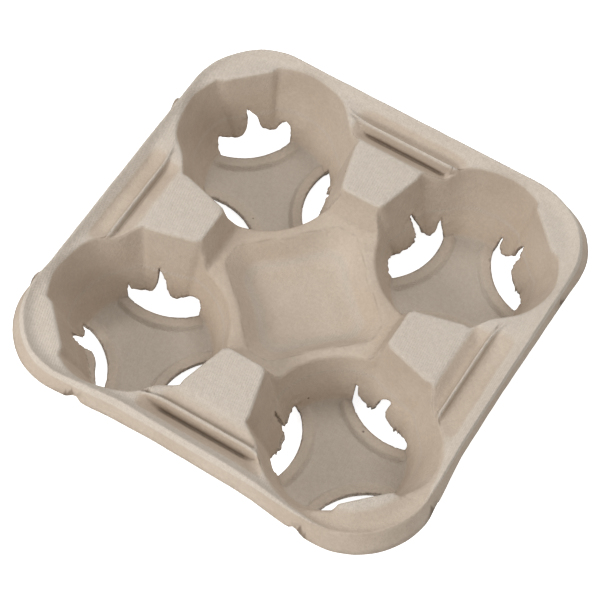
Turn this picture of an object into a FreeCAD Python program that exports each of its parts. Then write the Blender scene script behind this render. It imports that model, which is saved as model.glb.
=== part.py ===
import FreeCAD
import Part
import Sketcher
import os

# Cup carrier for four cups, moulded in one piece from paper pulp.
# The carrier is the space between an upper form and a lower form.
# The upper form has the shape seen from above, the lower form the shape seen from below.
# The origin is at the middle of the underside of the cup floors, with Z up.

doc = FreeCAD.newDocument("carrier")
V = FreeCAD.Vector

# Sizes in millimetres and degrees
SIZES = [
    ("hem_half", "108", "half the width of the carrier at the hem of the skirt"),
    ("lip_half", "104.1", "half the width at the outer edge of the lip"),
    ("corner_radius", "38", "plan radius of the four corners"),
    ("lip_height", "48.8", "height of the lip above the underside of the floors"),
    ("skirt_drop", "11.2", "height of the skirt below the lip"),
    ("lip_width", "1.5", "width of the flat top of the lip"),
    ("deck_drop", "3", "drop from the lip to the deck and the tops of the blocks"),
    ("wall", "2.2", "thickness of the pulp"),
    ("wall_level", "2.35", "thickness of a steep wall measured level"),
    ("pocket_middle", "54.4", "distance of a cup pocket's axis from both middle planes"),
    ("floor_radius", "30.8", "radius of a cup pocket at its floor"),
    ("pocket_draft", "0.34", "growth of the pocket radius for each unit of height"),
    ("pad_near_top", "41.2", "distance of a pad's face from the pocket axis at the deck"),
    ("pad_near_low", "30.2", "distance of a pad's face from the pocket axis at its foot"),
    ("pad_foot", "8", "height of the foot of the pads"),
    ("pad_half_top", "13", "half width of a pad's flat face at the deck"),
    ("pad_half_low", "9.5", "half width of a pad's flat face at its foot"),
    ("pad_side", "46", "half the width of the blocks that a pad is made from"),
    ("pad_root", "40", "depth of the blocks that a pad is made from"),
    ("sill_reach", "13", "distance of a sill's foot from the pocket axis"),
    ("sill_radius", "37.5", "plan radius of a sill's foot"),
    ("sill_rise", "1.7", "height of a sill above the floor"),
    ("sill_slope", "1.6", "plan width of a sill's sloping face"),
    ("window_reach", "20", "distance of a window's lower edge from the pocket axis"),
    ("window_radius", "33.6", "plan radius of a window's lower edge"),
    ("window_angle", "69", "angle of a window about the pocket axis"),
    ("window_top", "11.5", "height of the upper edge of a window"),
    ("window_out", "42", "outer end of the window cut from the pocket axis"),
    ("slot_width", "3.4", "width of the slot between the two flaps of a pad"),
    ("slot_rise", "8.5", "height of the slot above the window"),
    ("ring_height", "30.3", "height of the ring around the centre recess"),
    ("block_foot", "45.8", "distance of a block's inner foot from the middle plane"),
    ("block_draft", "0.387", "lean of a block's inner face for each unit of height"),
    ("recess_half", "33.5", "half width of the centre recess at the ring"),
    ("recess_round", "13.5", "plan radius of the recess corners at the ring"),
    ("recess_floor_half", "21.5", "half width of the floor of the centre recess"),
    ("recess_floor_round", "9", "plan radius of the corners of the recess floor"),
    ("recess_depth", "10", "depth of the centre recess below the ring"),
    ("groove_depth", "2.8", "depth of the side groove below the deck"),
    ("groove_outer_top", "99.6", "outer upper edge of the side groove"),
    ("groove_outer_low", "97", "outer lower edge of the side groove"),
    ("groove_inner_low", "85.2", "inner lower edge of the side groove"),
    ("groove_inner_top", "80.3", "inner upper edge of the side groove"),
    ("groove_half_length", "42", "half the length of the side groove"),
    ("rib_middle", "90.3", "distance of the rib in the side groove from the middle plane"),
    ("rib_half_foot", "1.7", "half the width of the rib at its foot"),
    ("rib_half_top", "0.5", "half the width of the rib at its top"),
    ("rib_rise", "4.3", "height of the rib above the bottom of the groove"),
    ("above", "6", "how far the cutting shapes run past the carrier"),
]

sheet = doc.addObject("Spreadsheet::Sheet", "Sizes")
for row, (alias, value, note) in enumerate(SIZES, start=1):
    sheet.set("A%d" % row, alias)
    sheet.set("B%d" % row, value)
    sheet.set("C%d" % row, note)
    sheet.setAlias("B%d" % row, alias)

# Sizes that follow from the others
DERIVED = [
    ("hem_height", "=lip_height - skirt_drop", "height of the hem"),
    ("deck_height", "=lip_height - deck_drop", "height of the deck and the block tops"),
    ("lip_inner_half", "=lip_half - lip_width", "half width at the inner edge of the lip"),
    ("deck_half", "=groove_outer_top", "half width of the deck inside the lip slope"),
    ("deck_round", "=corner_radius - lip_half + groove_outer_top", "plan radius of the deck corners"),
    ("lip_inner_round", "=corner_radius - lip_width", "plan radius of the lip's inner corners"),
    ("cut_top", "=lip_height + above", "upper end of the cutting shapes"),
    ("core_half", "=hem_half - above", "half width of the core under the hem"),
    ("under_deck", "=deck_height - wall", "height of the underside of the deck"),
    ("ring_under", "=ring_height - wall", "height of the underside of the ring"),
    ("recess_floor", "=ring_height - recess_depth", "height of the floor of the recess"),
    ("groove_floor", "=deck_height - groove_depth", "height of the bottom of the side groove"),
    ("rib_top", "=groove_floor + rib_rise", "height of the rib's top"),
    ("lean", "=( hem_half - lip_half ) / skirt_drop", "how far the skirt leans out for each unit down"),
    ("under_low_half", "=hem_half - wall_level + ( hem_height + above ) * lean", "half width under the hem"),
    ("under_top_half", "=lip_half - wall_level + ( deck_drop + wall ) * lean", "half width under the lip"),
    ("window_centre", "=window_reach + window_radius", "centre of a window's lower edge"),
    ("sill_centre", "=sill_reach + sill_radius", "centre of a sill's foot"),
]
first = len(SIZES) + 1
for row, (alias, value, note) in enumerate(DERIVED, start=first):
    sheet.set("A%d" % row, alias)
    sheet.set("B%d" % row, value)
    sheet.set("C%d" % row, note)
    sheet.setAlias("B%d" % row, alias)
doc.recompute()


def tied(text):
    """An expression in which every alias is read from the sheet."""
    words = [alias for alias, value, note in SIZES + DERIVED]
    out = []
    for word in text.split():
        bare = word.strip("()")
        if bare in words:
            word = word.replace(bare, "Sizes." + bare)
        out.append(word)
    return " ".join(out)


def bind(obj, **fields):
    for name, text in fields.items():
        obj.setExpression(name.replace("__", "."), tied(text))
    return obj


def place(obj, x="0", y="0", z="0"):
    obj.setExpression("Placement.Base.x", tied(x))
    obj.setExpression("Placement.Base.y", tied(y))
    obj.setExpression("Placement.Base.z", tied(z))
    return obj


def polygon(name, corners, rotation=None, x="0", y="0", z="0"):
    """A closed outline whose corners follow the sheet."""
    sketch = doc.addObject("Sketcher::SketchObject", name)
    if rotation is not None:
        sketch.Placement = FreeCAD.Placement(V(0, 0, 0), rotation)
    place(sketch, x, y, z)
    count = len(corners)
    start = [V(10 + 5 * i, (i * i) % 7, 0) for i in range(count)]
    for i in range(count):
        sketch.addGeometry(Part.LineSegment(start[i], start[(i + 1) % count]), False)
    for i in range(count):
        sketch.addConstraint(Sketcher.Constraint("Coincident", i, 2, (i + 1) % count, 1))
    for i, (px, py) in enumerate(corners):
        for kind, text in (("DistanceX", px), ("DistanceY", py)):
            number = sketch.addConstraint(Sketcher.Constraint(kind, -1, 1, i, 1, 1.0))
            sketch.setExpression("Constraints[%d]" % number, tied(text))
    return sketch


def rounded_square(name, half, radius, z, turn=0):
    """A square outline with round corners that follow the sheet."""
    sketch = doc.addObject("Sketcher::SketchObject", name)
    sketch.Placement = FreeCAD.Placement(V(0, 0, 0), FreeCAD.Rotation(V(0, 0, 1), turn))
    place(sketch, z=z)
    signs = [(1, 1), (-1, 1), (-1, -1), (1, -1)]
    quarter = 1.5707963267948966
    for i, (sx, sy) in enumerate(signs):
        circle = Part.Circle(V(20 * sx, 20 * sy, 0), V(0, 0, 1), 10)
        sketch.addGeometry(Part.ArcOfCircle(circle, i * quarter, (i + 1) * quarter), False)
    for i in range(4):
        a = sketch.Geometry[i].EndPoint
        b = sketch.Geometry[(i + 1) % 4].StartPoint
        sketch.addGeometry(Part.LineSegment(a, b), False)
    for i, (sx, sy) in enumerate(signs):
        number = sketch.addConstraint(Sketcher.Constraint("Radius", i, 10.0))
        sketch.setExpression("Constraints[%d]" % number, tied(radius))
        for kind, sign in (("DistanceX", sx), ("DistanceY", sy)):
            number = sketch.addConstraint(Sketcher.Constraint(kind, -1, 1, i, 3, 20.0 * sign))
            text = "( ( %s ) - ( %s ) ) * %d" % (half, radius, sign)
            sketch.setExpression("Constraints[%d]" % number, tied(text))
        along, across = ("Horizontal", "Vertical") if i % 2 == 0 else ("Vertical", "Horizontal")
        sketch.addConstraint(Sketcher.Constraint(along, i, 3, i, 1))
        sketch.addConstraint(Sketcher.Constraint(across, i, 3, i, 2))
    for i in range(4):
        sketch.addConstraint(Sketcher.Constraint("Coincident", i, 2, 4 + i, 1))
        sketch.addConstraint(Sketcher.Constraint("Coincident", 4 + i, 2, (i + 1) % 4, 1))
    return sketch


def loft(name, outlines):
    body = doc.addObject("Part::Loft", name)
    body.Sections = outlines
    body.Solid = True
    body.Ruled = True
    return body


def cut(name, base, tool):
    body = doc.addObject("Part::Cut", name)
    body.Base = base
    body.Tool = tool
    return body


def fuse(name, shapes):
    body = doc.addObject("Part::MultiFuse", name)
    body.Shapes = shapes
    return body


def mirror(name, source, normal):
    body = doc.addObject("Part::Mirroring", name)
    body.Source = source
    body.Base = V(0, 0, 0)
    body.Normal = normal
    return body


def four_corners(name, source):
    """The shape at one corner and its images at the other three."""
    pair = fuse(name + "Pair", [source, mirror(name + "Left", source, V(1, 0, 0))])
    return fuse(name + "Four", [pair, mirror(name + "Front", pair, V(0, 1, 0))])


def four_sides(name, source):
    """The shape at the +Y side and its images at the other three sides."""
    pair = fuse(name + "Pair", [source, mirror(name + "Front", source, V(0, 1, 0))])
    return fuse(name + "Four", [pair, mirror(name + "Turned", pair, V(1, -1, 0))])


UP_FROM_SIDE = FreeCAD.Rotation(0.5, 0.5, 0.5, 0.5)
WINDOW_ANGLES = (("Corner", 45), ("Back", 165), ("Side", 285))
PAD_TURN = 32


# The pads, sills and windows of one pocket, at the +X +Y corner
def leaning_block(name, angle, near_low, near_top, level):
    """A block behind a flat wall that leans away from the cup."""
    body = doc.addObject("Part::Wedge", name)
    turn = FreeCAD.Rotation(V(0, 0, 1), angle).multiply(FreeCAD.Rotation(V(1, 0, 0), 90))
    body.Placement = FreeCAD.Placement(V(0, 0, 0), turn)
    bind(body, Xmin=near_low, Xmax="%s + pad_root" % near_low,
         X2min=near_top, X2max="%s + pad_root" % near_top, Zmin="-1 * pad_side", Zmax="pad_side",
         Z2min="-1 * pad_side", Z2max="pad_side", Ymin="pad_foot", Ymax=level)
    return place(body, "pocket_middle", "pocket_middle")


def pad(name, angle, back):
    """A pad with a flat face towards the cup and two that turn back to the wall."""
    level = "deck_height" if back == "0" else "deck_height - wall"
    low = "pad_near_low + %s" % back
    top = "pad_near_top + %s" % back
    walls = [leaning_block(name + "Face", angle, low, top, level)]
    for side, turn in (("Left", PAD_TURN), ("Right", -PAD_TURN)):
        near = "( %s ) * cos( " + "%d deg ) - " % PAD_TURN + "%s * sin( " + "%d deg )" % PAD_TURN
        walls.append(leaning_block(name + side, angle + turn, near % (low, "pad_half_low"),
                                   near % (top, "pad_half_top"), level))
    body = doc.addObject("Part::MultiCommon", name)
    body.Shapes = walls
    return body


def sill(name, angle):
    """A low raised band of the floor beside a window."""
    body = doc.addObject("Part::Cone", name)
    body.Placement = FreeCAD.Placement(V(0, 0, 0), FreeCAD.Rotation(V(0, 0, 1), angle))
    bind(body, Radius1="sill_radius", Radius2="sill_radius - sill_slope", Height="sill_rise")
    place(body, "pocket_middle + sill_centre * cos( %d deg )" % angle,
          "pocket_middle + sill_centre * sin( %d deg )" % angle, "wall")
    return body


def pocket(name, level, grow, pad_back):
    """The hollow of a cup pocket, without its pads, and in the upper form without its sills."""
    cone = doc.addObject("Part::Cone", name + "Cone")
    bind(cone, Radius1="floor_radius + %s" % grow,
         Radius2="floor_radius + %s + pocket_draft * ( cut_top - wall )" % grow,
         Height="cut_top - %s" % level)
    if level == "0":
        cone.setExpression("Radius1", tied("floor_radius + %s - pocket_draft * wall" % grow))
    place(cone, "pocket_middle", "pocket_middle", level)
    keep = []
    for side, angle in WINDOW_ANGLES:
        keep.append(pad(name + "Pad" + side, angle, pad_back))
        if level == "wall":
            keep.append(sill(name + "Sill" + side, angle))
    return cut(name, cone, fuse(name + "Keep", keep))


# Upper form
rim = loft("UpperRim", [rounded_square("HemOutline", "hem_half", "corner_radius", "hem_height"),
                        rounded_square("LipOutline", "lip_half", "corner_radius", "lip_height")])
core_low = rounded_square("CoreLow", "core_half", "corner_radius", "0")
core_top = rounded_square("CoreTop", "core_half", "corner_radius", "groove_floor")
core = loft("UpperCore", [core_low, core_top])
deck_edge = [rounded_square("DeckOutline", "deck_half", "deck_round", "deck_height"),
             rounded_square("LipInnerOutline", "lip_inner_half", "lip_inner_round", "lip_height"),
             rounded_square("AboveOutline", "lip_inner_half", "lip_inner_round", "cut_top")]
deck_cut = loft("DeckCut", deck_edge)


def groove(name, drop, spread):
    """The side groove between the lip slope and a block."""
    low = "groove_floor - %s" % drop
    top = "deck_height - %s" % drop
    corners = [("groove_inner_low - %s" % spread, low), ("groove_outer_low + %s" % spread, low),
               ("groove_outer_top + %s" % spread, top), ("groove_outer_top + %s" % spread, "cut_top"),
               ("groove_inner_top - %s" % spread, "cut_top"), ("groove_inner_top - %s" % spread, top)]
    outline = polygon(name + "Outline", corners, UP_FROM_SIDE, x="-1 * groove_half_length")
    body = doc.addObject("Part::Extrusion", name)
    body.Base = outline
    body.DirMode = "Custom"
    body.Dir = V(1, 0, 0)
    body.Solid = True
    bind(body, LengthFwd="2 * groove_half_length")
    return body


groove_upper = groove("Groove", "0", "0")
rib_corners = [("rib_middle - rib_half_foot", "groove_floor - wall / 2"),
               ("rib_middle - rib_half_foot", "groove_floor"),
               ("rib_middle - rib_half_top", "rib_top"),
               ("rib_middle + rib_half_top", "rib_top"),
               ("rib_middle + rib_half_foot", "groove_floor"),
               ("rib_middle + rib_half_foot", "groove_floor - wall / 2")]
rib_outline = polygon("RibOutline", rib_corners, UP_FROM_SIDE, x="-1 * groove_half_length")
rib = doc.addObject("Part::Extrusion", "Rib")
rib.Base = rib_outline
rib.DirMode = "Custom"
rib.Dir = V(1, 0, 0)
rib.Solid = True
bind(rib, LengthFwd="2 * groove_half_length")


def basin(name, level, spread):
    """The hollow between the inner faces of the four blocks."""
    low = "block_foot + %s + block_draft * ( %s - ring_height )" % (spread, level)
    top = "block_foot + %s + block_draft * ( cut_top - ring_height )" % spread
    body = doc.addObject("Part::Wedge", name)
    body.Placement = FreeCAD.Placement(V(0, 0, 0), FreeCAD.Rotation(V(1, 0, 0), 90))
    bind(body, Ymin=level, Ymax="cut_top",
         Xmin="-1 * ( %s )" % low, Xmax=low, Zmin="-1 * ( %s )" % low, Zmax=low,
         X2min="-1 * ( %s )" % top, X2max=top, Z2min="-1 * ( %s )" % top, Z2max=top)
    return body


def recess(name, spread, floor):
    """The bowl in the middle."""
    outlines = [rounded_square(name + "Floor", "recess_floor_half + %s" % spread,
                               "recess_floor_round + %s" % spread, floor, 45),
                rounded_square(name + "Edge", "recess_half + %s" % spread,
                               "recess_round + %s" % spread, floor + " + recess_depth", 45),
                rounded_square(name + "Above", "recess_half + %s + 0.5" % spread,
                               "recess_round + %s + 0.5" % spread, floor + " + recess_depth + above", 45)]
    return loft(name, outlines)


solid_base = fuse("UpperBase", [rim, core])
decked = cut("UpperDeck", solid_base, deck_cut)
grooved = cut("UpperGrooved", decked, four_sides("Groove", groove_upper))
ribbed = fuse("UpperRibbed", [grooved, four_sides("Rib", rib)])
hollowed = cut("UpperBasin", ribbed, basin("Basin", "ring_height", "0"))
bowled = cut("UpperRecess", hollowed, recess("Recess", "0", "recess_floor"))
upper = cut("UpperForm", bowled, four_corners("Pocket", pocket("Pocket", "wall", "0", "0")))

# Lower form
under_round = "corner_radius - wall_level"
under_low = rounded_square("UnderLow", "under_low_half", under_round, "-1 * above")
under_top = rounded_square("UnderTop", "under_top_half", under_round, "under_deck")
under_rim = loft("LowerRim", [under_low, under_top])
under_grooved = cut("LowerGrooved", under_rim, four_sides("GrooveUnder", groove("GrooveUnder", "wall", "1")))
under_hollowed = cut("LowerBasin", under_grooved, basin("BasinUnder", "ring_under", "wall_level"))
under_recess = recess("RecessUnder", "wall_level * 0.8", "recess_floor - wall")
under_bowled = cut("LowerRecess", under_hollowed, under_recess)
under_pockets = four_corners("PocketUnder", pocket("PocketUnder", "0", "wall_level", "wall_level"))
lower = cut("LowerForm", under_bowled, under_pockets)

# Windows and slots
shell = cut("Shell", upper, lower)
openings = []
for side, angle in WINDOW_ANGLES:
    arc = doc.addObject("Part::Cylinder", "WindowArc" + side)
    bind(arc, Radius="window_radius", Height="window_top + above")
    place(arc, "pocket_middle + window_centre * cos( %d deg )" % angle,
          "pocket_middle + window_centre * sin( %d deg )" % angle, "-1 * above")
    fan = doc.addObject("Part::Cylinder", "WindowFan" + side)
    bind(fan, Radius="window_out", Height="window_top + above", Angle="window_angle")
    place(fan, "pocket_middle", "pocket_middle", "-1 * above")
    fan.setExpression("Placement.Rotation.Angle", "%d - Sizes.window_angle / 2" % angle)
    window = doc.addObject("Part::MultiCommon", "Window" + side)
    window.Shapes = [arc, fan]
    slot_corners = [("window_reach", "slot_width / -2"), ("window_out", "slot_width / -2"),
                    ("window_out", "slot_width / 2"), ("window_reach", "slot_width / 2")]
    turn = FreeCAD.Rotation(V(0, 0, 1), angle)
    slot_outline = polygon("SlotOutline" + side, slot_corners, turn, "pocket_middle", "pocket_middle",
                           "window_top - 1")
    slot = doc.addObject("Part::Extrusion", "Slot" + side)
    slot.Base = slot_outline
    slot.DirMode = "Custom"
    slot.Dir = V(0, 0, 1)
    slot.Solid = True
    bind(slot, LengthFwd="slot_rise + 1")
    openings.append(window)
    openings.append(slot)
opened = four_corners("Openings", fuse("Openings", openings))

carrier = cut("Carrier", shell, opened)
carrier.Label = "carrier"
doc.recompute()

# Checks and export
for obj in doc.Objects:
    state = obj.State
    if "Invalid" in state or "Error" in state:
        raise RuntimeError("object %s is in state %s" % (obj.Name, state))
    if hasattr(obj, "Shape"):
        if obj.Shape.isNull():
            raise RuntimeError("object %s has no shape" % obj.Name)
        if not obj.Shape.isValid():
            raise RuntimeError("object %s has a faulty shape" % obj.Name)
if len(carrier.Shape.Solids) != 1:
    raise RuntimeError("the carrier has %d solids" % len(carrier.Shape.Solids))

os.makedirs("parts", exist_ok=True)
carrier.Shape.exportStep("parts/carrier.step")
box = carrier.Shape.BoundBox
print("carrier box", round(box.XLength, 2), round(box.YLength, 2), round(box.ZLength, 2))
print("volume", round(carrier.Shape.Volume, 1))
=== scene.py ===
"""Moulded pulp carrier for four cups: one thin shell with pads, windows and a grained skin."""

import math

import bpy
import numpy as np
from mathutils import Matrix, Vector, noise
from mathutils.geometry import delaunay_2d_cdt


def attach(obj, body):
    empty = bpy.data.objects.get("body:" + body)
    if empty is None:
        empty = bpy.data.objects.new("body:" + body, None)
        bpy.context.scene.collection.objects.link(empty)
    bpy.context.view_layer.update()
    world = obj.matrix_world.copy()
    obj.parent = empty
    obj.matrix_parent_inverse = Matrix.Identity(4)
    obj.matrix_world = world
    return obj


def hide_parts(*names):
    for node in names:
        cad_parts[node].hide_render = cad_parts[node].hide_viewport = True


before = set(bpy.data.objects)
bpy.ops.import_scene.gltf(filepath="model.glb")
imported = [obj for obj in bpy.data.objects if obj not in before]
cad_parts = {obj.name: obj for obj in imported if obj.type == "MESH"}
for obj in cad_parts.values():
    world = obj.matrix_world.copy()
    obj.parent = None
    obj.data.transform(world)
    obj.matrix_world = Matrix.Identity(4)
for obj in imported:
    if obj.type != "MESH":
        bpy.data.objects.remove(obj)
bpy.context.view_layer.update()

# Sizes in millimetres. Those that the CAD source has too go by its names.
HEM_HALF = 108.0
LIP_HALF = 104.1
LIP_WIDTH = 0.7
LIP_HEIGHT = 48.8
CORNER_RADIUS = 38.0
SKIRT_DROP = 11.2
DECK_HEIGHT = 45.8
WALL = 2.2
FLOOR_TOP = 2.25
POCKET_MIDDLE = 54.4
FLOOR_RADIUS = 30.8
POCKET_DRAFT = 0.34
PAD_ANGLES = (45.0, 165.0, 285.0)
PAD_NEAR_TOP = 41.2
PAD_NEAR_LOW = 30.2
PAD_FOOT = 7.8
PAD_HALF_TOP = 13.0
PAD_HALF_LOW = 9.5
PAD_TURN = 0.625
SILL_REACH = 13.0
SILL_RADIUS = 37.5
SILL_RISE = 2.3
SILL_MIDDLE = SILL_REACH + SILL_RADIUS
SILL_LEAN = 0.94
WINDOW_REACH = 20.0
WINDOW_RADIUS = 33.6
RING_HEIGHT = 30.3
BLOCK_FOOT = 45.8
BLOCK_DRAFT = 0.387
RECESS_HALF = 33.5
RECESS_ROUND = 13.5
RECESS_DEPTH = 10.0
RECESS_FLOOR_HALF = 24.0
RECESS_FLOOR_ROUND = 10.0
GROOVE_INNER_TOP = 80.3
RIB_MIDDLE = 90.4
RIB_TOP = 46.4
RIB_HALF_TOP = 0.4
RIB_LEAN = 0.29

# How far the recess's sides bow inward, and over what width
RECESS_PINCH = 1.6
RECESS_PINCH_WIDTH = 13.0

# A pocket's wall is steeper beside its blocks and lies back at its corners: change of draft, degrees
# from the diagonal and spread in degrees
WALL_NARROWING = 0.085
NARROW_AT = 86.0
NARROW_SPREAD = 13.0
WALL_WIDENING = 0.02
WIDE_AT = 38.0
WIDE_SPREAD = 12.0

# The grooves of the four sides, +X, +Y, -X and -Y: floor and roundness of the outer one, floor, foot and
# roundness of the inner one, and where their middle lies along the side
OUTER_FLOOR = (43.0, 43.2, 43.2, 39.4)
OUTER_ROUND = (1.6, 3.6, 1.6, 1.2)
INNER_FLOOR = (42.2, 39.4, 42.8, 43.4)
INNER_FOOT = (85.8, 87.3, 87.2, 88.0)
INNER_ROUND = (1.4, 1.2, 1.2, 3.0)
GROOVE_SHIFT = (-7.0, 4.0, -6.0, 3.0)

# The floors rise to the end height between these distances from the groove's middle
GROOVE_END = 46.8
OUTER_RISE = (20.0, 40.0)
INNER_RISE = (20.0, 33.0)

# The rib bends outward and sinks towards its ends, as the square of the way past these distances
RIB_BEND = 0.011
RIB_BEND_FROM = 20.0
RIB_SINK = 0.004
RIB_SINK_FROM = 26.0

# Each level gap times its face's cosine is the distance square to that face
WALL_COSINE = 0.947
PAD_FACE_COSINE = 0.96
PAD_SIDE_COSINE = 0.82
SILL_COSINE = 0.73
SKIRT_COSINE = 0.944
SLOPE_COSINE = 0.707
GROOVE_COSINE = 0.9
RIB_COSINE = 0.963
BLOCK_COSINE = 0.933
RECESS_COSINE = 0.72
DIAGONAL = 0.7071

# How widely two faces blend where they meet
FOOT_BLEND = 3.5
PAD_BLEND = 0.7
SILL_BLEND = 0.4
SILL_FOOT_BLEND = 0.3
LIP_BLEND = 1.0
DECK_BLEND = 1.5
RIB_SIDE_BLEND = 0.6
GROOVE_BLEND = 0.8
RIB_BLEND = 0.9
BASIN_BLEND = 1.8
EDGE_BLEND = 0.9
BOWL_BLEND = 3.4
CREST_BLEND = 1.6

# Spacing of the mesh: points round a pocket, and steps in millimetres
COLUMNS = 208
FLOOR_STEP = 1.9
SILL_STEP = 1.5
SIDE_STEP = 1.6
SIDE_END = 60.0
MIDDLE_STEP = 1.7
MIDDLE_END = 110.0
CREST_STEP = 0.05
CREST_SEARCH = (34.0, 56.0)
CREST_GAP = 0.5

# Radii of the floor's rings, shares of the way up a pocket's wall, and steps past its crest
FLOOR_RINGS = (0.0, 1.9, 3.8, 5.7, 7.6, 9.5, 11.4, 13.3, 15.2, 17.1, 18.9, 20.6, 22.2, 23.7, 25.1, 26.4,
               27.5, 28.4)
WALL_SHARES = (0.0, 0.06, 0.115, 0.16, 0.2, 0.235, 0.27, 0.305, 0.34, 0.375, 0.41, 0.445, 0.48, 0.515, 0.55,
               0.585, 0.62, 0.655, 0.69, 0.725, 0.76, 0.795, 0.83, 0.86, 0.885, 0.91, 0.93, 0.95, 0.97,
               0.985, 1.0)
CREST_STEPS = (0.3, 0.7, 1.3)

# Distances in plan inward from a sill's arc
SILL_LINES = (-0.8, -0.3, 0.1, 0.5, 1.1, 1.7, 2.2, 2.6, 3.1)

# Distances from the middle plane: lines along the sides, then half widths of the band of slope, lip and skirt
SIDE_LINES = (44.2, 44.9, 45.5, 46.0, 46.5, 47.1, 47.7, 48.3, 48.9, 49.5, 50.1, 50.6, 51.0, 51.4, 51.8, 52.3,
              53.0, 54.2, 56.0, 58.0, 60.0, 62.0, 64.0, 66.0, 68.0, 70.0, 72.0, 74.0, 76.0, 77.8, 79.0, 79.7,
              80.2, 80.8, 81.7, 82.9, 84.1, 85.2, 86.0, 86.7, 87.3, 87.8, 88.2, 88.6, 88.95, 89.3, 89.6,
              89.9, 90.3, 90.7, 91.0, 91.3, 91.65, 92.0, 92.4, 92.8, 93.3, 93.9, 94.5, 95.1, 95.8, 96.6,
              97.5, 98.4, 99.2)
BAND_HALVES = (99.9, 100.8, 101.6, 102.2, 102.6, 102.95, 103.25, 103.5, 103.75, 104.0, 104.25, 104.6, 105.2,
               106.0, 107.0, 108.0)


def smooth_max(a, b, blend):
    """The greater of two distances, rounded where they are within the blend of each other."""
    share = np.clip(0.5 + 0.5 * (a - b) / blend, 0.0, 1.0)
    return b + (a - b) * share + blend * share * (1.0 - share)


def smooth_min(a, b, blend):
    return -smooth_max(-a, -b, blend)


def eased(value, low, high):
    """0 below low, 1 above high and smooth between them."""
    share = np.clip((value - low) / (high - low), 0.0, 1.0)
    return share * share * (3.0 - 2.0 * share)


def square_distance(x, y, half, radius):
    """Distance from the outline of a rounded square, negative inside."""
    qx = x - (half - radius)
    qy = y - (half - radius)
    corner = np.hypot(np.maximum(qx, 0.0), np.maximum(qy, 0.0))
    return corner + np.minimum(np.maximum(qx, qy), 0.0) - radius


def pad(p, q, z):
    """A pad over a window, negative inside it: p runs outward from the pocket's axis and q sideways."""
    rise = z - PAD_FOOT
    near = PAD_NEAR_LOW + rise * (PAD_NEAR_TOP - PAD_NEAR_LOW) / (DECK_HEIGHT - PAD_FOOT)
    half = PAD_HALF_LOW + rise * (PAD_HALF_TOP - PAD_HALF_LOW) / (DECK_HEIGHT - PAD_FOOT)
    face = (near - p) * PAD_FACE_COSINE
    side = (near + PAD_TURN * (q - half) - p) * PAD_SIDE_COSINE
    return smooth_max(face, side, PAD_BLEND)


def sill(reach, z):
    """The raised sill before a window, negative inside it: reach is the way from its arc's middle."""
    edge = (reach - (SILL_RADIUS - SILL_LEAN * (z - FLOOR_TOP))) * SILL_COSINE
    return smooth_max(z - FLOOR_TOP - SILL_RISE, edge, SILL_BLEND)


def pocket_air(px, py, z):
    """The hollow of a pocket about its own axis, negative in the air."""
    radius = np.hypot(px, py)
    turned = np.abs((np.degrees(np.arctan2(py, px)) + 135.0) % 360.0 - 180.0)
    draft = (POCKET_DRAFT - WALL_NARROWING * np.exp(-((turned - NARROW_AT) / NARROW_SPREAD) ** 2)
             + WALL_WIDENING * np.exp(-((turned - WIDE_AT) / WIDE_SPREAD) ** 2))
    wall = (radius - (FLOOR_RADIUS + draft * (z - FLOOR_TOP))) * WALL_COSINE
    air = smooth_max(FLOOR_TOP - z, wall, FOOT_BLEND)
    for angle in PAD_ANGLES:
        c = math.cos(math.radians(angle))
        s = math.sin(math.radians(angle))
        air = smooth_max(air, -pad(px * c + py * s, np.abs(py * c - px * s), z), PAD_BLEND)
        reach = np.hypot(px - SILL_MIDDLE * c, py - SILL_MIDDLE * s)
        air = smooth_max(air, -sill(reach, z), SILL_FOOT_BLEND)
    return air


def lip_slope(x, y, z):
    """The slope from the lip down to the deck and on into the outer groove, negative in the air."""
    in_from_lip = LIP_WIDTH + LIP_HEIGHT - z
    return square_distance(x, y, LIP_HALF - in_from_lip, CORNER_RADIUS - in_from_lip) * SLOPE_COSINE


def rim(x, y, z):
    """Skirt, lip and deck, negative in the pulp and below it."""
    under_lip = LIP_HEIGHT - z
    half = LIP_HALF + under_lip * (HEM_HALF - LIP_HALF) / SKIRT_DROP
    skirt = square_distance(x, y, half, CORNER_RADIUS) * SKIRT_COSINE
    body = smooth_max(-under_lip, skirt, LIP_BLEND)
    return smooth_max(body, -smooth_max(DECK_HEIGHT - z, lip_slope(x, y, z), DECK_BLEND), LIP_BLEND)


def outer_groove(side, along, far, slope, z):
    """The groove between the lip and the rib, negative in the air."""
    low = np.take(OUTER_FLOOR, side)
    floor = low + (GROOVE_END - low) * eased(along, *OUTER_RISE)
    trough = smooth_max(floor - z, slope, np.take(OUTER_ROUND, side))
    return smooth_max(trough, (RIB_MIDDLE - far) * GROOVE_COSINE, RIB_SIDE_BLEND)


def inner_groove(side, along, far, z):
    """The groove between the rib and the block, negative in the air."""
    low = np.take(INNER_FLOOR, side)
    foot = np.take(INNER_FOOT, side)
    drop = DECK_HEIGHT - low
    length = np.hypot(foot - GROOVE_INNER_TOP, drop)
    face = (foot - far) * drop / length - (z - low) * (foot - GROOVE_INNER_TOP) / length
    floor = low + (GROOVE_END - low) * eased(along, *INNER_RISE)
    trough = smooth_max(floor - z, face, np.take(INNER_ROUND, side))
    return smooth_max(trough, (far - RIB_MIDDLE) * GROOVE_COSINE, RIB_SIDE_BLEND)


def rib(along, far, z):
    """The rib between the grooves, negative inside it."""
    bend = RIB_BEND * np.maximum(along - RIB_BEND_FROM, 0.0) ** 2
    half = RIB_HALF_TOP + (RIB_TOP - z) * RIB_LEAN
    crest = RIB_TOP - RIB_SINK * np.maximum(along - RIB_SINK_FROM, 0.0) ** 2
    return smooth_max(z - crest, (np.abs(far - RIB_MIDDLE - bend) - half) * RIB_COSINE, RIB_BLEND)


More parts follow.
